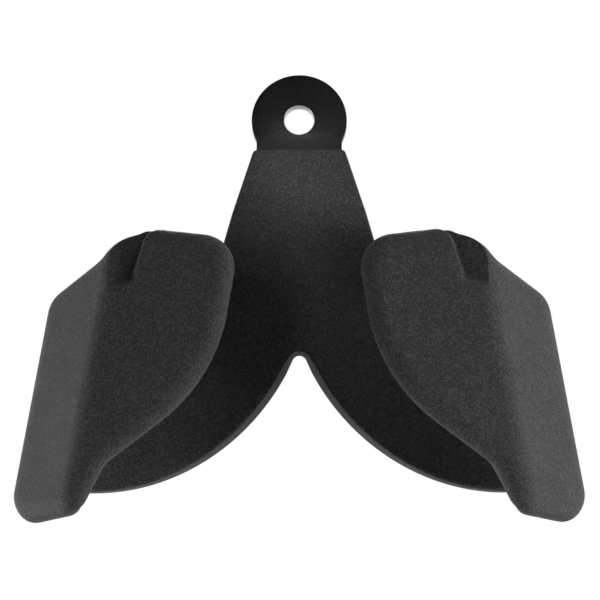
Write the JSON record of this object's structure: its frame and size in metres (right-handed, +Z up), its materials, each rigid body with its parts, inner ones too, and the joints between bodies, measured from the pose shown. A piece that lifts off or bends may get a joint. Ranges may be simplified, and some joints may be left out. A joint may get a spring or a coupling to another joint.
{
  "type": "cable handle",
  "caption": "Palm-grip cable handle: a flat steel eye plate over a textured urethane body that forks into curved lobes, each folded forward into a broad palm pad with a finger gap behind it.",
  "frame": {"origin": "centre of the eye hole, midway through the eye plate's thickness", "axes": "+Z up along the pull, in the eye plate's plane; +X to the right as the palm pads are seen; the palm pads face -Y"},
  "size_m": [0.2898, 0.0868, 0.2456],
  "materials": {
    "black_powder_coat": "satin black powder coat",
    "mild_steel": "formed plate and ground weld, hidden inside the cover",
    "black_urethane": "matte black, finely pebbled"
  },
  "bodies": {
    "root": {"hanger_plate": "black_powder_coat", "wing_plate_left": "mild_steel", "wing_plate_right": "mild_steel", "tongue_weld_left": "mild_steel", "tongue_weld_right": "mild_steel", "ridge_weld": "mild_steel", "urethane_cover": "black_urethane"}
  },
  "joints": []
}
